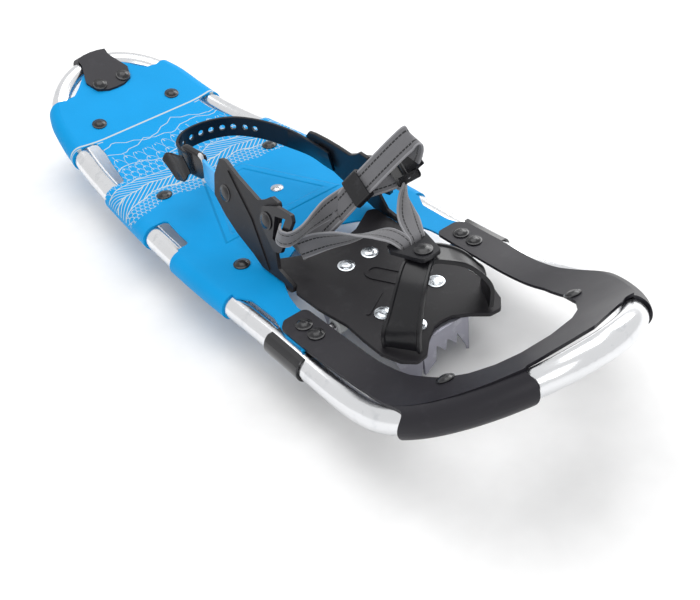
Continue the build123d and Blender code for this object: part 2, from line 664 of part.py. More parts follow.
save(cam_lever.part, "cam_buckle_lever")

# ---------------------------------------------------------------------------
# Heel strap and its ratchet buckle
# ---------------------------------------------------------------------------
TALL_WAY = (0, 0, 1)
HEEL_W = 17.0
HEEL_T = 2.2
heel_path = [(41.6, 0, 77.2), (40.6, 24, 79.5), (36.0, 45, 81.5), (27.5, 66, 83.5), (15, 84, 84.5), (2, 92.5, 85),
             (-12, 94, 85.5), (-23, 89.5, 85.5), (-30.5, 79.5, 84.5)]
with BuildPart() as heel_strap:
    add(ribbon(heel_path, [(-0.22, 0, 1), (-0.2, 0, 1)] + [TALL_WAY] * 7, [HEEL_W] * 9, HEEL_T))
    add(rivet_holes([tab_pin_at[0]], 9), mode=Mode.SUBTRACT)
save(heel_strap.part, "heel_strap")

BUCKLE = Plane(origin=(-35.2, 64.5, 84.2), x_dir=(5, 22, 1.5), z_dir=(-22, 5, 0))
with BuildPart() as buckle_body:
    with BuildSketch(BUCKLE):
        RectangleRounded(24, 21, 2.5)
    extrude(amount=1.8)
    with BuildSketch(BUCKLE.offset(1.8)):
        with Locations((0, -9.3), (0, 9.3)):
            Rectangle(20, 2.0)
    extrude(amount=5.4)
    with BuildSketch(Plane(origin=BUCKLE.from_local_coords((6, -10.6, 4.6)), x_dir=BUCKLE.x_dir,
                           z_dir=BUCKLE.y_dir)):
        Circle(1.05)
    extrude(amount=21.2, mode=Mode.SUBTRACT)
save(buckle_body.part, "heel_buckle_body")
with BuildPart() as buckle_pin:
    with BuildSketch(Plane(origin=BUCKLE.from_local_coords((6, -10.1, 4.6)), x_dir=BUCKLE.x_dir,
                           z_dir=BUCKLE.y_dir)):
        Circle(1.0)
    extrude(amount=20.2)
save(buckle_pin.part, "heel_buckle_pin")
with BuildPart() as buckle_lever:
    with BuildSketch(Plane(origin=BUCKLE.from_local_coords((6, -7.9, 4.6)), x_dir=BUCKLE.x_dir,
                           z_dir=BUCKLE.y_dir)):
        Circle(2.4)
        with BuildLine():
            Polyline([(0, -2.3), (18, -8.5), (19.5, -6.5), (2, 1.6)], close=True)
        make_face()
        Circle(1.06, mode=Mode.SUBTRACT)
    extrude(amount=15.8)
save(buckle_lever.part, "heel_buckle_lever")

link_strap = ribbon([(-41.2, 19, 80.5), (-40.5, 36, 81.8), (-37.9, 51, 83.2)],
                    [(0.2, 0, 1), (0.15, 0, 1), (0.05, 0, 1)], [17, 17.5, 18], 2.2)
with BuildPart() as link:
    add(link_strap)
    add(mirror(rivet_holes([tab_pin_at[0]], 9), about=Plane.YZ), mode=Mode.SUBTRACT)
save(link.part, "heel_link")
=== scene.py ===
import math

import bmesh
import bpy
from mathutils import Matrix, Vector


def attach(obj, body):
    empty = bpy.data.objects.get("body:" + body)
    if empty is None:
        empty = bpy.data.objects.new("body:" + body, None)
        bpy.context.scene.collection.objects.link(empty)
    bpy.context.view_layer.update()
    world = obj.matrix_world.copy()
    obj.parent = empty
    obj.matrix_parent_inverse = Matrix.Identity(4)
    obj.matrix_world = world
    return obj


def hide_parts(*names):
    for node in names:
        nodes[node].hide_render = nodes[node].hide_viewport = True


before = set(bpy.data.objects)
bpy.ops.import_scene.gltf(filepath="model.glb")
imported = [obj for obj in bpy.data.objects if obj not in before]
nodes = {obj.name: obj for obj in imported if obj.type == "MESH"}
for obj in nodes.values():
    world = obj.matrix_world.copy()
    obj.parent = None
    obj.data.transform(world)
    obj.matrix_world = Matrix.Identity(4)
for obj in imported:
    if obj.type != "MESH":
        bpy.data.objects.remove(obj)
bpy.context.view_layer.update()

MM = 0.001

# ---------------------------------------------------------------------------
# Studio: a pale floor, three soft lights and a camera that looks down at the
# shoe from the front of its buckle side.
# ---------------------------------------------------------------------------
CAMERA_AT = Vector((-0.3592, -0.5738, 0.4974))
CAMERA_LOOK = Vector((0.4514, 0.6364, -0.6255))
CAMERA_UP = Vector((0.4511, 0.4421, 0.7753))
camera_data = bpy.data.cameras.new("camera")
camera_data.lens = 53.87
camera_data.sensor_width = 36.0
camera_data.sensor_fit = "HORIZONTAL"
camera_data.clip_start = 0.02
camera = bpy.data.objects.new("camera", camera_data)
bpy.context.collection.objects.link(camera)
look = CAMERA_LOOK.normalized()
side = look.cross(CAMERA_UP).normalized()
up = side.cross(look)
camera.matrix_world = Matrix.Translation(CAMERA_AT) @ Matrix((side, up, -look)).transposed().to_4x4()
bpy.context.scene.camera = camera
bpy.context.scene.view_settings.view_transform = "Standard"


def soft_light(name, place, aim, size, power):
    """A large square area light that faces a point."""
    data = bpy.data.lights.new(name, "AREA")
    data.size = size
    data.energy = power
    lamp = bpy.data.objects.new(name, data)
    lamp.location = place
    lamp.rotation_euler = (Vector(aim) - Vector(place)).to_track_quat("-Z", "Y").to_euler()
    bpy.context.collection.objects.link(lamp)


soft_light("overhead", (0.3, 0.4, 1.9), (0, 0, 0), 1.5, 14)
soft_light("front_fill", (-1.3, -1.0, 1.1), (0, 0, 0.03), 1.0, 6)
soft_light("far_edge", (1.3, 0.5, 0.9), (0, 0, 0.03), 0.9, 10)

world = bpy.data.worlds.new("studio")
bpy.context.scene.world = world
world.use_nodes = True
world.node_tree.nodes["Background"].inputs["Color"].default_value = (1.0, 1.0, 1.0, 1)
world.node_tree.nodes["Background"].inputs["Strength"].default_value = 0.85


def calc(tree, operation, *values):
    """A math node fed by numbers or sockets, and its output."""
    node = tree.nodes.new("ShaderNodeMath")
    node.operation = operation
    for i, value in enumerate(values):
        if isinstance(value, (int, float)):
            node.inputs[i].default_value = value
        else:
            tree.links.new(value, node.inputs[i])
    return node.outputs[0]


def new_group(name, inputs, outputs):
    """An empty shader node group with typed sockets, and its two end nodes."""
    tree = bpy.data.node_groups.new(name, "ShaderNodeTree")
    for label, kind, start in inputs:
        socket = tree.interface.new_socket(label, in_out="INPUT", socket_type="NodeSocket" + kind)
        if start is not None:
            socket.default_value = start
    for label, kind in outputs:
        tree.interface.new_socket(label, in_out="OUTPUT", socket_type="NodeSocket" + kind)
    return tree, tree.nodes.new("NodeGroupInput"), tree.nodes.new("NodeGroupOutput")


def noise_of(tree, place, scale, detail=3.0, rough=0.5):
    """A noise texture's height at a place."""
    node = tree.nodes.new("ShaderNodeTexNoise")
    node.inputs["Scale"].default_value = scale
    node.inputs["Detail"].default_value = detail
    node.inputs["Roughness"].default_value = rough
    tree.links.new(place, node.inputs["Vector"])
    return node.outputs["Fac"]


def mixed(tree, share, first, second):
    """A colour between two, by a share from 0 to 1."""
    node = tree.nodes.new("ShaderNodeMix")
    node.data_type = "RGBA"
    for value, socket in ((share, node.inputs[0]), (first, node.inputs[6]), (second, node.inputs[7])):
        if isinstance(value, bpy.types.NodeSocket):
            tree.links.new(value, socket)
        else:
            socket.default_value = value
    return node.outputs[2]


# Handling marks: cloudy tone, fine grain and rubbed patches on every finish
marks, marks_in, marks_out = new_group(
    "handling_marks",
    [("Place", "Vector", None), ("Colour", "Color", None), ("Rubbed", "Color", None),
     ("Roughness", "Float", 0.5), ("Grain Size", "Float", 900.0), ("Rub Amount", "Float", 0.3)],
    [("Colour", "Color"), ("Roughness", "Float"), ("Height", "Float")])
cloud = noise_of(marks, marks_in.outputs["Place"], 22.0)
rub_noise = noise_of(marks, marks_in.outputs["Place"], 95.0, 6.0, 0.65)
rub = calc(marks, "MULTIPLY", calc(marks, "SMOOTH_MIN", calc(
    marks, "MAXIMUM", calc(marks, "MULTIPLY", calc(marks, "SUBTRACT", rub_noise, 0.56), 9.0), 0.0), 1.0, 0.2),
    marks_in.outputs["Rub Amount"])
grain = marks.nodes.new("ShaderNodeTexNoise")
grain.inputs["Detail"].default_value = 2.0
marks.links.new(marks_in.outputs["Place"], grain.inputs["Vector"])
marks.links.new(marks_in.outputs["Grain Size"], grain.inputs["Scale"])
tone = mixed(marks, calc(marks, "MULTIPLY", cloud, 0.16), marks_in.outputs["Colour"], (0, 0, 0, 1))
marks.links.new(mixed(marks, rub, tone, marks_in.outputs["Rubbed"]), marks_out.inputs["Colour"])
sway = calc(marks, "MULTIPLY", calc(marks, "SUBTRACT", cloud, 0.5), 0.16)
marks.links.new(calc(marks, "ADD", marks_in.outputs["Roughness"], sway), marks_out.inputs["Roughness"])
marks.links.new(grain.outputs["Fac"], marks_out.inputs["Height"])


def finish(name, colour, rubbed, roughness, grain_size=900.0, grain_depth=0.05, rub_amount=0.3, metallic=0.0,
           coat=0.0, sheen=0.0, gloss=0.3):
    """A material with handling marks, and the pieces needed to add to it."""
    material = bpy.data.materials.new(name)
    material.use_nodes = True
    tree = material.node_tree
    shader = tree.nodes["Principled BSDF"]
    place = tree.nodes.new("ShaderNodeTexCoord").outputs["Object"]
    wear = tree.nodes.new("ShaderNodeGroup")
    wear.node_tree = marks
    wear.inputs["Colour"].default_value = (*colour, 1)
    wear.inputs["Rubbed"].default_value = (*rubbed, 1)
    wear.inputs["Roughness"].default_value = roughness
    wear.inputs["Grain Size"].default_value = grain_size
    wear.inputs["Rub Amount"].default_value = rub_amount
    tree.links.new(place, wear.inputs["Place"])
    bump = tree.nodes.new("ShaderNodeBump")
    bump.inputs["Strength"].default_value = grain_depth
    bump.inputs["Distance"].default_value = 0.5 * MM
    tree.links.new(wear.outputs["Height"], bump.inputs["Height"])
    tree.links.new(wear.outputs["Colour"], shader.inputs["Base Color"])
    tree.links.new(wear.outputs["Roughness"], shader.inputs["Roughness"])
    tree.links.new(bump.outputs["Normal"], shader.inputs["Normal"])
    shader.inputs["Metallic"].default_value = metallic
    shader.inputs["Specular IOR Level"].default_value = gloss
    shader.inputs["Coat Weight"].default_value = coat
    shader.inputs["Coat Roughness"].default_value = 0.12
    shader.inputs["Sheen Weight"].default_value = sheen
    return material, tree, shader, wear, bump, place


floor_data = bpy.data.meshes.new("floor")
FLOOR_HALF = 6.0
floor_corners = [(FLOOR_HALF * x, FLOOR_HALF * y, 0) for x, y in ((-1, -1), (1, -1), (1, 1), (-1, 1))]
floor_data.from_pydata(floor_corners, [], [(0, 1, 2, 3)])
floor = bpy.data.objects.new("floor", floor_data)
floor.location.z = -0.5 * MM
bpy.context.collection.objects.link(floor)
floor_paper = finish("floor_paper", (0.97, 0.97, 0.97), (0.96, 0.96, 0.96), 0.95, 300, 0.02, 0.1)[0]
floor_data.materials.append(floor_paper)

# ---------------------------------------------------------------------------
# Frame tube: one bent aluminium tube, polished and clear coated.  Grey
# patches dull the polish here and there.
# ---------------------------------------------------------------------------
alloy = finish(
    "polished_alloy", (0.86, 0.87, 0.89), (0.62, 0.64, 0.67), 0.2, 1600, 0.02, 0.5, metallic=1.0,
    coat=0.25)[0]


def dress(material, names, soften=0.0):
    """Give CAD nodes a material and round their sharp edges a little."""
    for name in names:
        piece = nodes[name]
        piece.data.materials.clear()
        piece.data.materials.append(material)
        if soften:
            bevel = piece.modifiers.new("soft_edges", "BEVEL")
            bevel.width = soften * MM
            bevel.segments = 3
            bevel.limit_method = "ANGLE"
            bevel.angle_limit = math.radians(32)


dress(alloy, ["frame_tube"])

# ---------------------------------------------------------------------------
# Main deck: coated sheet, heat formed so that its tabs wrap the tube.  It has
# a pressed heel panel and a printed line drawing of hills, trees and fields.
# ---------------------------------------------------------------------------
deck_print, print_in, print_out = new_group(
    "deck_print", [("Place", "Vector", None)], [("Lines", "Float"), ("Height", "Float")])
apart = deck_print.nodes.new("ShaderNodeSeparateXYZ")
deck_print.links.new(print_in.outputs["Place"], apart.inputs[0])


def dp(operation, *values):
    return calc(deck_print, operation, *values)


across = dp("MULTIPLY", apart.outputs["X"], 1000.0)
along = dp("MULTIPLY", apart.outputs["Y"], 1000.0)
from_middle = dp("ABSOLUTE", across)


def zigzag(width, height, shift=0.0):
    """A triangle wave across the deck, from 0 to height."""
    return dp("MULTIPLY", dp("PINGPONG", dp("ADD", across, shift + 500.0), width), height / width)


def line_at(distance, half_width):
    """1 on a line, 0 off it, with a soft edge."""
    fall = dp("MAXIMUM", 0.0, dp("MULTIPLY", dp("SUBTRACT", dp("ABSOLUTE", distance), half_width), 4.0))
    return dp("SUBTRACT", 1.0, dp("MINIMUM", 1.0, fall))


def between(value, low, high):
    """1 where a value lies between two limits."""
    return dp("MULTIPLY", dp("GREATER_THAN", value, low), dp("LESS_THAN", value, high))


def leaf_cells(width, height, line):
    """Rows of pointed leaf outlines, each row half a leaf aside."""
    row_place = dp("DIVIDE", along, height)
    row = dp("FLOOR", row_place)
    odd = dp("MULTIPLY", dp("PINGPONG", row, 1.0), 0.5)
    u = dp("SUBTRACT", dp("FRACT", dp("ADD", dp("DIVIDE", dp("ADD", across, 500.0), width), odd)), 0.5)
    v = dp("FRACT", row_place)
    reach = dp("SQRT", dp("ADD", dp("MULTIPLY", dp("MULTIPLY", u, u), 4.0), dp("MULTIPLY", v, v)))
    arc = line_at(dp("MULTIPLY", dp("SUBTRACT", reach, 1.0), height), line)
    tip = dp("MULTIPLY", line_at(dp("MULTIPLY", u, width), line), dp("GREATER_THAN", v, 0.72))
    return dp("MAXIMUM", arc, tip)


def hatching(angle, pitch, line):
    """Slanted parallel lines."""
    a = math.radians(angle)
    run = dp("ADD", dp("MULTIPLY", across, math.cos(a)), dp("MULTIPLY", along, math.sin(a)))
    place_in_pitch = dp("SUBTRACT", dp("FRACT", dp("DIVIDE", dp("ADD", run, 500.0), pitch)), 0.5)
    return line_at(dp("MULTIPLY", place_in_pitch, pitch), line)


wander = dp("MULTIPLY", dp("SUBTRACT", noise_of(deck_print, print_in.outputs["Place"], 26.0, 2.0), 0.5), 26.0)
field = dp("ADD", dp("ADD", along, wander), dp("SUBTRACT", zigzag(37.0, 9.0), 4.5))
# the broad line by the tail, which flares towards the tabs, and its thin twin
flare = dp("MAXIMUM", 0.0, dp("SUBTRACT", from_middle, 42.0))
tail_line = dp("SUBTRACT", dp("SUBTRACT", along, 214.0), dp("MULTIPLY", dp("MULTIPLY", flare, flare), 0.0048))
lines = line_at(tail_line, 0.75)
twin = line_at(dp("SUBTRACT", dp("ADD", tail_line, 3.4), dp("MULTIPLY", flare, 0.03)), 0.3)
lines = dp("MAXIMUM", lines, dp("MULTIPLY", twin, dp("GREATER_THAN", from_middle, 48.0)))
# far ridges
ridge_one = dp("SUBTRACT", dp("SUBTRACT", along, 188.0), dp("ADD", zigzag(31.0, 15.0, 9.0), zigzag(7.3, 2.2)))
ridge_two = dp("SUBTRACT", dp("SUBTRACT", along, 183.0), dp("ADD", zigzag(23.0, 8.0), zigzag(9.1, 3.0)))
lines = dp("MAXIMUM", lines, dp("MAXIMUM", line_at(ridge_one, 0.3), line_at(ridge_two, 0.3)))
# trees, woods, fields and hedges, nearer and nearer
for low, high, pattern in (
        (160, 183, leaf_cells(9.5, 15.0, 0.24)), (136, 158, leaf_cells(6.0, 9.0, 0.22)),
        (121, 135, hatching(62, 3.6, 0.24)), (108, 120, hatching(-48, 3.3, 0.24)),
        (91, 107, leaf_cells(3.9, 4.6, 0.18))):
    lines = dp("MAXIMUM", lines, dp("MULTIPLY", pattern, between(field, low, high)))
for edge in (159, 120.5, 107.5, 135.5):
    lines = dp("MAXIMUM", lines, line_at(dp("SUBTRACT", field, edge), 0.4))
lines = dp("MULTIPLY", lines, dp("GREATER_THAN", apart.outputs["Z"], 0.036))
deck_print.links.new(lines, print_out.inputs["Lines"])
# pressed heel panel
panel_half = dp("ADD", 20.0, dp("MULTIPLY", dp("SUBTRACT", 94.0, along), 0.41))
inside = dp("MINIMUM", dp("SUBTRACT", panel_half, from_middle),
            dp("MINIMUM", dp("SUBTRACT", 94.0, along), dp("SUBTRACT", along, 6.0)))
step = dp("MINIMUM", 1.0, dp("MAXIMUM", 0.0, dp("MULTIPLY", inside, 0.5)))
inner_step = dp("MINIMUM", 1.0, dp("MAXIMUM", 0.0, dp("MULTIPLY", dp("SUBTRACT", inside, 7.0), 0.5)))
deck_print.links.new(dp("SUBTRACT", step, dp("MULTIPLY", inner_step, 0.6)), print_out.inputs["Height"])

DECK_BLUE = (0.0, 0.31, 0.70)
sheet_blue, tree, shader, wear, bump, place = finish(
    "deck_sheet", DECK_BLUE, (0.0, 0.33, 0.72), 0.5, 1400, 0.06, 0.12, gloss=0.12)
printed = tree.nodes.new("ShaderNodeGroup")
printed.node_tree = deck_print
tree.links.new(place, printed.inputs["Place"])
tree.links.new(mixed(tree, printed.outputs["Lines"], wear.outputs["Colour"], (0.5, 0.55, 0.56, 1)),
               shader.inputs["Base Color"])
pressed = tree.nodes.new("ShaderNodeBump")
pressed.inputs["Strength"].default_value = 0.9
pressed.inputs["Distance"].default_value = 1.8 * MM
tree.links.new(printed.outputs["Height"], pressed.inputs["Height"])
tree.links.new(bump.outputs["Normal"], pressed.inputs["Normal"])
tree.links.new(pressed.outputs["Normal"], shader.inputs["Normal"])
dress(sheet_blue, ["main_deck"], 0.35)

# ---------------------------------------------------------------------------
# Toe deck and tail strap: stiffer charcoal sheet, satin, riveted over the
# deck and rolled round the tube.
# ---------------------------------------------------------------------------
charcoal = finish(
    "charcoal_plate", (0.014, 0.013, 0.018), (0.032, 0.03, 0.038), 0.42, 1200, 0.08, 0.25)[0]
dress(charcoal, ["toe_deck", "tail_strap"], 0.5)

# ---------------------------------------------------------------------------
# Rivets: black coated domes with a turned rim through the sheets, and zinc
# plated ones in the footbed and the heel.
# ---------------------------------------------------------------------------
rivet_black = finish(
    "black_rivet", (0.012, 0.012, 0.014), (0.08, 0.08, 0.085), 0.26, 1500, 0.05, 0.4, coat=0.3)[0]
dress(rivet_black, ["deck_rivets", "toe_deck_rivets", "tail_strap_rivets", "ring_rivet_left",
                    "ring_rivet_right", "heel_rivet_left", "heel_rivet_right", "toe_ring_rivet"], 0.25)
rivet_zinc = finish(
    "zinc_rivet", (0.66, 0.7, 0.74), (0.42, 0.44, 0.46), 0.24, 1300, 0.05, 0.5, metallic=1.0)[0]
dress(rivet_zinc, ["footbed_rivets", "heel_crampon_rivets"], 0.25)

# ---------------------------------------------------------------------------
# Steel: laser cut crampons with a lavender grey hardening finish, a ground
# axle and its end collars.
# ---------------------------------------------------------------------------
crampon_steel = finish("crampon_steel", (0.36, 0.36, 0.42), (0.55, 0.55, 0.6), 0.34, 1000, 0.08, 0.4,
                       metallic=0.75)[0]
dress(crampon_steel, ["toe_crampon", "heel_crampon"], 0.35)
ground_steel = finish(
    "ground_steel", (0.62, 0.62, 0.64), (0.4, 0.4, 0.42), 0.25, 1400, 0.04, 0.5, metallic=1.0)[0]
dress(ground_steel, ["toe_axle", "axle_collar_left", "axle_collar_right", "cam_buckle_pin",
                     "heel_buckle_pin"], 0.2)
nylon = finish("natural_nylon", (0.6, 0.62, 0.62), (0.45, 0.46, 0.46), 0.45, 900, 0.05, 0.3)[0]
dress(nylon, ["axle_bushing_left", "axle_bushing_right", "axle_sleeve_left", "axle_sleeve_right"], 0.3)
band_gloss = finish(
    "gloss_band", (0.008, 0.008, 0.01), (0.03, 0.03, 0.03), 0.12, 1000, 0.02, 0.2, coat=0.6)[0]
dress(band_gloss, ["pivot_band_left", "pivot_band_right"], 0.5)

# ---------------------------------------------------------------------------
# Footbed: one moulded black plate, matte with a fine texture.  The boot's
# ball stands on it.
# ---------------------------------------------------------------------------
moulded = finish("moulded_black", (0.012, 0.011, 0.014), (0.03, 0.03, 0.034), 0.52, 1500, 0.12, 0.35)[0]
dress(moulded, ["footbed"], 0.5)

# ---------------------------------------------------------------------------
# Heel wings and rings: moulded near-black arms.  The rings of harder, glossier
# plastic turn on rivets and take the webbing in their slots.
# ---------------------------------------------------------------------------
wing_grey = finish("wing_grey", (0.016, 0.015, 0.017), (0.04, 0.039, 0.042), 0.42, 1300, 0.1, 0.4)[0]
dress(wing_grey, ["heel_wing_left", "heel_wing_right"], 0.7)
ring_black = finish(
    "ring_black", (0.009, 0.009, 0.012), (0.03, 0.03, 0.034), 0.3, 1200, 0.06, 0.35, coat=0.15)[0]
dress(ring_black, ["instep_ring_left", "instep_ring_right", "toe_ring"], 0.7)


def smooth_route(points, per_span=8):
    """Catmull-Rom points through a short list of places."""
    points = [Vector(p) for p in points]
    ends = [2 * points[0] - points[1]] + points + [2 * points[-1] - points[-2]]
    route = []
    for i in range(1, len(ends) - 2):
        a, b, c, d = ends[i - 1:i + 3]
        for k in range(per_span):
            t = k / per_span
            route.append(0.5 * (2 * b + (c - a) * t + (2 * a - 5 * b + 4 * c - d) * t ** 2
                                + (3 * b - a - 3 * c + d) * t ** 3))
    route.append(points[-1])
    return route


def band(name, centres, widthways, widths, profile, material, per_span=8):
    """A flat band along a route, in millimetres.

    profile holds (place across, height) pairs of its section, both as shares:
    across in half widths, height in millimetres, round the whole section.
    """
    route = smooth_route(centres, per_span)
    sides = smooth_route(widthways, per_span)
    sizes = [v.x for v in smooth_route([(w, 0, 0) for w in widths], per_span)]
    count = len(profile)
    mesh_points, faces, lengths = [], [], [0.0]
    for i, centre in enumerate(route):
        ahead = route[min(i + 1, len(route) - 1)] - route[max(i - 1, 0)]
        ahead.normalize()
        wide = sides[i] - ahead * sides[i].dot(ahead)
        wide.normalize()
        high = ahead.cross(wide)
        if i:
            lengths.append(lengths[-1] + (centre - route[i - 1]).length)
        for u, h in profile:
            mesh_points.append((centre + wide * (0.5 * sizes[i] * u) + high * h) * MM)
    for i in range(len(route) - 1):
        for k in range(count):
            n = (k + 1) % count
            faces.append((i * count + k, i * count + n, (i + 1) * count + n, (i + 1) * count + k))
    faces.append(tuple(reversed(range(count))))
    last = (len(route) - 1) * count
    faces.append(tuple(range(last, last + count)))
    mesh = bpy.data.meshes.new(name)
    mesh.from_pydata(mesh_points, [], faces)
    layer = mesh.uv_layers.new(name="lay")
    for polygon in mesh.polygons:
        for loop in polygon.loop_indices:
            vertex = mesh.loops[loop].vertex_index
            layer.data[loop].uv = (lengths[vertex // count] * 0.01, profile[vertex % count][0] * 0.5 + 0.5)
    mesh.materials.append(material)
    mesh.shade_smooth()
    mesh.set_sharp_from_angle(angle=math.radians(38))
    piece = bpy.data.objects.new(name, mesh)
    bpy.context.collection.objects.link(piece)
    return piece


def flat_profile(thick, edge=0.06, crown=0.0):
    """The section of a woven or moulded band with rounded selvedges."""
    h = thick / 2
    top = [(-1 + edge, h), (-0.6, h + crown * 0.7), (0, h + crown), (0.6, h + crown * 0.7), (1 - edge, h)]
    bottom = [(u, -z) for u, z in reversed(top)]
    return top + [(1, 0.45 * h), (1, -0.45 * h)] + bottom + [(-1, -0.45 * h), (-1, 0.45 * h)]


# ---------------------------------------------------------------------------
# Toe wings: moulded bands that curl up from the footbed's front lobes and
# meet under the toe ring.  Their edges are raised and glossy.
# ---------------------------------------------------------------------------
wing_gloss = finish(
    "wing_gloss", (0.009, 0.009, 0.011), (0.03, 0.03, 0.034), 0.34, 1300, 0.06, 0.3, coat=0.12)[0]
ridged = [(-1, -0.9), (-0.96, -2.1), (-0.82, -2.1), (-0.76, -0.9), (-0.5, -0.7), (0, -0.8), (0.5, -0.7),
          (0.76, -0.9), (0.82, -2.1), (0.96, -2.1), (1, -0.9), (1, 1.0), (0.96, 1.2), (0, 1.2),
          (-0.96, 1.2), (-1, 1.0)]
TOE_ROUTE = [(38.5, -174, 42.2), (39, -174.5, 52), (35, -174, 63), (24, -168.5, 78), (11, -160.5, 85.5),
             (0.7, -156, 87)]
TOE_SIDES = [(15, 24, 0), (15, 24, 0), (12, 22, -4), (11, 18, -3), (10, 15, 0), (5, 18, 0)]
TOE_WIDTHS = [27, 27, 25, 22, 20, 18]
for name, flip in (("toe_wing_left", 1), ("toe_wing_right", -1)):
    section = ridged if flip > 0 else [(u, -h) for u, h in ridged]
    wing = band(name + "_moulding", [(flip * x, y, z) for x, y, z in TOE_ROUTE],
                [(flip * x, y, z) for x, y, z in TOE_SIDES], TOE_WIDTHS, section, wing_gloss, 10)
    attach(wing, "binding")
    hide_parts(name)

# ---------------------------------------------------------------------------
# Webbing: woven grey nylon with two dashed black lines of stitches and paler
# selvedges.  The pull strap is the widest and is doubled back on itself.
# ---------------------------------------------------------------------------
weave, weave_in, weave_out = new_group(
    "webbing_weave", [("Lay", "Vector", None)], [("Colour", "Color"), ("Height", "Float")])
lay = weave.nodes.new("ShaderNodeSeparateXYZ")
weave.links.new(weave_in.outputs["Lay"], lay.inputs[0])


def wv(operation, *values):
    return calc(weave, operation, *values)


run = wv("MULTIPLY", lay.outputs["X"], 100.0)
off_centre = wv("ABSOLUTE", wv("SUBTRACT", wv("MULTIPLY", lay.outputs["Y"], 2.0), 1.0))
THREAD = 0.9
rib = wv("SINE", wv("MULTIPLY", run, 2 * math.pi / THREAD))
warp = wv("SINE", wv("MULTIPLY", off_centre, 2 * math.pi * 11))
twill = wv("MULTIPLY", rib, warp)
stitch_lane = wv("LESS_THAN", wv("ABSOLUTE", wv("SUBTRACT", off_centre, 0.52)), 0.07)
dash = wv("LESS_THAN", wv("FRACT", wv("DIVIDE", run, 3.2)), 0.84)
stitch = wv("MULTIPLY", stitch_lane, dash)
selvedge = wv("GREATER_THAN", off_centre, 0.86)
fuzz = noise_of(weave, weave_in.outputs["Lay"], 180.0, 4.0)
weft_share = wv("ADD", 0.35, wv("MULTIPLY", twill, 0.35))
body = mixed(weave, weft_share, (0.045, 0.045, 0.05, 1), (0.22, 0.22, 0.235, 1))
body = mixed(weave, wv("MULTIPLY", fuzz, 0.35), body, (0.23, 0.23, 0.245, 1))
body = mixed(weave, wv("MULTIPLY", selvedge, 0.55), body, (0.34, 0.34, 0.36, 1))
weave.links.new(mixed(weave, stitch, body, (0.006, 0.006, 0.008, 1)), weave_out.inputs["Colour"])
height = wv("ADD", wv("MULTIPLY", twill, 0.3), wv("MULTIPLY", stitch, 0.8))
weave.links.new(wv("SUBTRACT", height, wv("MULTIPLY", wv("SUBTRACT", stitch_lane, stitch), 0.7)),
                weave_out.inputs["Height"])


def webbing_material(name):
    """Woven grey webbing, laid along each band's own length."""
    material = bpy.data.materials.new(name)
    material.use_nodes = True
    tree = material.node_tree
    shader = tree.nodes["Principled BSDF"]
    lay_map = tree.nodes.new("ShaderNodeUVMap")
    lay_map.uv_map = "lay"
    cloth = tree.nodes.new("ShaderNodeGroup")
    cloth.node_tree = weave
    tree.links.new(lay_map.outputs["UV"], cloth.inputs["Lay"])
    bump = tree.nodes.new("ShaderNodeBump")
    bump.inputs["Strength"].default_value = 0.7
    bump.inputs["Distance"].default_value = 0.25 * MM
    tree.links.new(cloth.outputs["Height"], bump.inputs["Height"])
    tree.links.new(cloth.outputs["Colour"], shader.inputs["Base Color"])
    tree.links.new(bump.outputs["Normal"], shader.inputs["Normal"])
    shader.inputs["Roughness"].default_value = 0.8
    shader.inputs["Sheen Weight"].default_value = 0.35
    shader.inputs["Sheen Roughness"].default_value = 0.5
    return material


webbing = webbing_material("webbing_grey")
WEB = flat_profile(1.4, 0.05, 0.12)
PULL_W = 18.5
FIXED_W = 15.5
FLAT = Vector((0, -0.96, -0.28))
LIFT = Vector((-0.829, -0.14, 0.48))


def lifted(point, height):
    """A place raised off the pull strap's own plane."""
    return tuple(Vector(point) + LIFT * height)


pull_route = [lifted((-9, -76, 89.5), 1.9), lifted((-20, -66, 74), 2.2), lifted((-28.5, -57.5, 61), 2.4),
              (-31.4, -54.4, 57.0), lifted((-28.2, -57.8, 61.5), -1.6), lifted((-20, -66, 74), -1.1),
              lifted((-9, -76, 89.5), -0.2), (3, -87, 107.5), (16, -99, 126.5), (26.5, -109.5, 142),
              (31, -113.5, 146.5), (34.3, -112.5, 142), (37.5, -107, 131), (38.4, -102, 121.5),
              (35.5, -99, 116)]
pull = band("pull_strap_webbing", pull_route, [FLAT] * 15, [PULL_W] * 12 + [18, 17, 16.5], WEB, webbing)
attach(pull, "binding")
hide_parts("pull_strap", "return_strap")

BAR_WAY = Vector((-0.2, 0.29, -0.93))
instep_route = [(-45.8, -57.5, 84.8), (-48.4, -59.4, 84), (-50.6, -63, 83.4), (-50.7, -68, 83.6),
                (-47.6, -72.6, 84.6), (-40, -74.2, 86.4), (-26, -72.6, 89.2), (-10, -74, 93.6),
                (9.5, -81, 100.6), (25, -93, 105.6), (31, -97, 108.4)]
instep = band("instep_strap_webbing", instep_route,
              [BAR_WAY] * 6 + [(-0.1, 0.1, -0.95), (-0.05, -0.4, -0.8), (0, -0.8, -0.5), FLAT, FLAT],
              [13] * 5 + [14.5] + [FIXED_W] * 5, WEB, webbing)
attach(instep, "binding")
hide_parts("instep_strap")

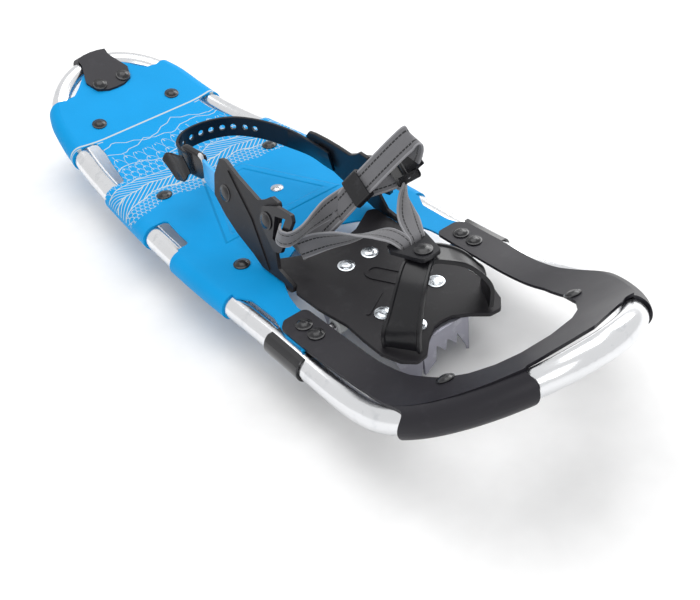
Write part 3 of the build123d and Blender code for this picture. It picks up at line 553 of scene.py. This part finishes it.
SIDEWAYS = Vector((1, 0, 0))
toe_route = [(37, -97, 110), (33, -102, 105.5), (26.5, -109, 101), (19.5, -118, 98), (13.5, -127, 96),
             (8.8, -136, 94.4), (6.4, -142.0, 92.6), (5.4, -143.4, 89.4), (4.6, -141, 86.6)]
toe = band("toe_strap_webbing", toe_route,
           [(0.55, 0.55, -0.6), (0.6, 0.6, -0.4), (0.75, 0.6, -0.2), (0.85, 0.5, -0.1), (0.95, 0.3, 0)]
           + [SIDEWAYS] * 4,
           [FIXED_W] * 5 + [14, 12.5, 12.5, 12.5], WEB, webbing)
cross_route = [(-3.4, -141, 87.0), (-3.8, -143.3, 89.8), (-4.4, -141.4, 93.0), (-6.2, -134, 95.2),
               (-9, -124, 94.2), (-12.5, -111, 89), (-17.5, -94, 80.5), (-25, -77, 72.5), (-36, -64, 65)]
cross = band("cross_strap_webbing", cross_route,
             [SIDEWAYS] * 4 + [(0.9, -0.35, 0.1), (0.8, -0.6, 0.1), (0.6, -0.75, -0.2), (0.45, -0.75, -0.45),
                               (0.2, -0.75, -0.6)], [11, 11, 12, 14] + [FIXED_W] * 5, WEB, webbing)
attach(cross, "binding")
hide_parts("cross_strap")
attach(toe, "binding")
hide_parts("toe_strap")

anchor_route = [(45.8, -57.5, 84.8), (48.4, -59.4, 84), (50.6, -63, 83.4), (50.7, -68, 83.6),
                (48, -73.4, 85.4), (43.6, -78.5, 91), (40, -84, 98), (38.6, -90, 105)]
anchor = band("anchor_strap_webbing", anchor_route,
              [(0.2, 0.29, -0.93)] * 4 + [(0.2, -0.2, -0.95), (0.1, -0.6, -0.8)] + [(0, -0.8, -0.55)] * 2,
              [13] * 5 + [14] * 3, WEB, webbing)
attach(anchor, "binding")
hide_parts("anchor_strap")

# ---------------------------------------------------------------------------
# Keeper and cam buckle: glossy black moulded fittings.  The keeper holds the
# two layers of the pull strap, and the buckle's lever clamps its return.
# ---------------------------------------------------------------------------
fitting = finish(
    "fitting_black", (0.009, 0.009, 0.011), (0.035, 0.035, 0.04), 0.25, 1200, 0.05, 0.35, coat=0.2)[0]
dress(fitting, ["strap_keeper", "cam_buckle_body", "cam_buckle_lever"], 0.6)

# ---------------------------------------------------------------------------
# Heel strap: moulded near-black band with eight round holes, riveted to the
# left wing and drawn through the ratchet buckle on the right.
# ---------------------------------------------------------------------------
heel_gloss = finish(
    "heel_band", (0.004, 0.006, 0.012), (0.015, 0.018, 0.028), 0.34, 1200, 0.04, 0.2, coat=0.05)[0]
heel_route = [(41.5, -5, 77.0), (41.6, 5, 77.6), (40.6, 24, 79.5), (36.0, 45, 81.5), (28, 67, 83.5),
              (16, 86, 84.5), (2, 95, 85), (-14, 98, 85.5), (-28, 95.5, 85.5), (-37.5, 87.5, 85),
              (-41, 78, 84.7), (-40.4, 68, 84.2)]
band_edge = [(-1, 0.8), (-0.95, 1.3), (-0.8, 1.3), (-0.72, 0.95), (0, 1.05), (0.72, 0.95), (0.8, 1.3),
             (0.95, 1.3), (1, 0.8), (1, -0.8), (0.94, -1.1), (0, -1.15), (-0.94, -1.1), (-1, -0.8)]
heel = band("heel_strap_band", heel_route, [(-0.22, 0, 1), (-0.22, 0, 1), (-0.2, 0, 1)] + [(0, 0, 1)] * 9,
            [19, 20, 18] + [17] * 9, band_edge, heel_gloss, 12)
hole_route = smooth_route(heel_route, 24)
HOLE_COUNT = 8
HOLE_PITCH = 9.4
HOLE_R = 2.4
HOLE_START = 31        # along the band from its end in the buckle to the first hole
travelled, placed, last_point = 0.0, 0, hole_route[-1]
cutters = []
for i in range(len(hole_route) - 2, 0, -1):
    travelled += (hole_route[i] - last_point).length
    last_point = hole_route[i]
    if travelled > HOLE_START + placed * HOLE_PITCH and placed < HOLE_COUNT:
        placed += 1
        out = (hole_route[i + 1] - hole_route[i - 1]).normalized().cross(Vector((0, 0, 1)))
        bpy.ops.mesh.primitive_cylinder_add(
            vertices=32, radius=HOLE_R * MM, depth=8 * MM, location=hole_route[i] * MM)
        cutter = bpy.context.object
        cutter.rotation_euler = out.to_track_quat("Z", "Y").to_euler()
        cutters.append(cutter)
for cutter in cutters:
    cut = heel.modifiers.new("hole", "BOOLEAN")
    cut.operation = "DIFFERENCE"
    cut.object = cutter
    cut.solver = "EXACT"
bpy.context.view_layer.update()
shape = bpy.data.meshes.new_from_object(heel.evaluated_get(bpy.context.evaluated_depsgraph_get()))
heel.modifiers.clear()
heel.data = shape
shape.set_sharp_from_angle(angle=math.radians(30))
for cutter in cutters:
    bpy.data.objects.remove(cutter, do_unlink=True)
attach(heel, "binding")
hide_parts("heel_strap")

# ---------------------------------------------------------------------------
# Left heel wing: a moulded arm with a raised rim.  Its rear tip is lower than
# the right wing's, and the heel strap is riveted to it.
# ---------------------------------------------------------------------------
WING_AT = Vector((51.5, -50, 45))
WING_ALONG = Vector((0, 1, 0))
WING_UP = Vector((-0.22495, 0, 0.97437))
WING_OUT = Vector((0.97437, 0, 0.22495))
WING_LOOP = [(-27, -3), (-20, -3), (-16, 0.3), (10, 0.6), (22, 6), (44, 13.5), (60, 21.5), (73, 29),
             (77, 36), (76, 44), (70, 50), (62, 51.5), (48, 52), (34, 51.5), (20, 50), (12, 54), (5, 59),
             (-4, 58), (-6, 50), (-3, 24), (-8, 8), (-27, 3)]
WING_THICK = 3
RIM_WIDE = 2.4
RIM_HIGH = 0.8
plate = bmesh.new()
under = [plate.verts.new((WING_AT + WING_ALONG * a + WING_UP * b) * MM) for a, b in WING_LOOP]
face_at = WING_AT + WING_OUT * WING_THICK
top = [plate.verts.new((face_at + WING_ALONG * a + WING_UP * b) * MM) for a, b in WING_LOOP]
plate.faces.new(reversed(under))
face = plate.faces.new(top)
for i in range(len(WING_LOOP)):
    n = (i + 1) % len(WING_LOOP)
    plate.faces.new((under[i], under[n], top[n], top[i]))
bmesh.ops.recalc_face_normals(plate, faces=plate.faces)
bmesh.ops.inset_region(plate, faces=[face], thickness=RIM_WIDE * MM)
bmesh.ops.translate(plate, verts=face.verts, vec=WING_OUT * -RIM_HIGH * MM)
wing_mesh = bpy.data.meshes.new("heel_wing_left_moulding")
plate.to_mesh(wing_mesh)
plate.free()
wing_mesh.materials.append(wing_grey)
low_wing = bpy.data.objects.new("heel_wing_left_moulding", wing_mesh)
bpy.context.collection.objects.link(low_wing)
rim = low_wing.modifiers.new("moulded_edge", "BEVEL")
rim.width = 0.7 * MM
rim.segments = 3
rim.limit_method = "ANGLE"
rim.angle_limit = math.radians(32)
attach(low_wing, "binding")
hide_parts("heel_wing_left")

# ---------------------------------------------------------------------------
# Heel buckle: a moulded ratchet on the light blue link.  A black body with
# raised cheeks holds the strap, and a long curved paddle closes over it.
# ---------------------------------------------------------------------------
link_blue = finish("link_blue", (0.05, 0.42, 0.86), (0.2, 0.5, 0.85), 0.25, 900, 0.04, 0.2, coat=0.3)[0]
dress(link_blue, ["heel_link"], 0.8)
AT = Vector((-40.0, 64.0, 84.2))
LONG = Vector((-2.4, 22, 1.2)).normalized()
OUT = Vector((-22, -2.4, 0)).normalized()
TALL = OUT.cross(LONG)


def on_buckle(along_strap, outward, tall):
    """A place on the buckle, in millimetres from the middle of its base."""
    return tuple(AT + LONG * along_strap + OUT * outward + TALL * tall)


body_profile = [(-1, 4.4), (-0.97, 5.2), (-0.82, 5.2), (-0.78, 4.4), (-0.76, 1.4), (0, 1.1),
                (0.76, 1.4), (0.78, 4.4), (0.82, 5.2), (0.97, 5.2), (1, 4.4), (1, 0.2),
                (0.9, -0.2), (0, -0.3), (-0.9, -0.2), (-1, 0.2)]
cheek_places = ((-13.5, 0.2), (-11, 0.4), (0, 0.8), (9, 0.8), (12.5, 0.2))
body = band("heel_buckle_cheeks", [on_buckle(a, o, 0) for a, o in cheek_places],
            [TALL] * 5, [17, 22, 24, 24, 20], [(-u, -h) for u, h in reversed(body_profile)], fitting, 8)
paddle_profile = [(-1, 0.4), (-0.9, 1.0), (-0.75, 0.5), (0, 0.15), (0.75, 0.5), (0.9, 1.0), (1, 0.4),
                  (1, -0.6), (0.85, -1.1), (0, -1.4), (-0.85, -1.1), (-1, -0.6)]
paddle_places = ((2.0, 4.4, 0), (5, 6.4, 1), (9, 7.6, 3), (13.5, 8.8, 5.5), (17, 11.0, 7.5))
paddle = band("heel_buckle_paddle", [on_buckle(*spot) for spot in paddle_places], [TALL] * 5,
              [17, 20, 25, 27, 21], paddle_profile, fitting, 8)
white = finish("white_slider", (0.72, 0.73, 0.74), (0.5, 0.5, 0.5), 0.4, 900, 0.05, 0.2)[0]
slider = band("heel_buckle_slider", [on_buckle(a, -0.6, 0) for a in (-13.2, -12.4, -9.6, -8.8)], [TALL] * 4,
              [22, 26, 26, 22], flat_profile(2.0, 0.06, 0.1), white, 4)
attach(slider, "binding")
for piece, node in ((body, "heel_buckle_body"), (paddle, "heel_buckle_lever")):
    smooth = piece.modifiers.new("moulded", "SUBSURF")
    smooth.levels = smooth.render_levels = 1
    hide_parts(node)
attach(body, "binding")
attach(paddle, "heel_lever")
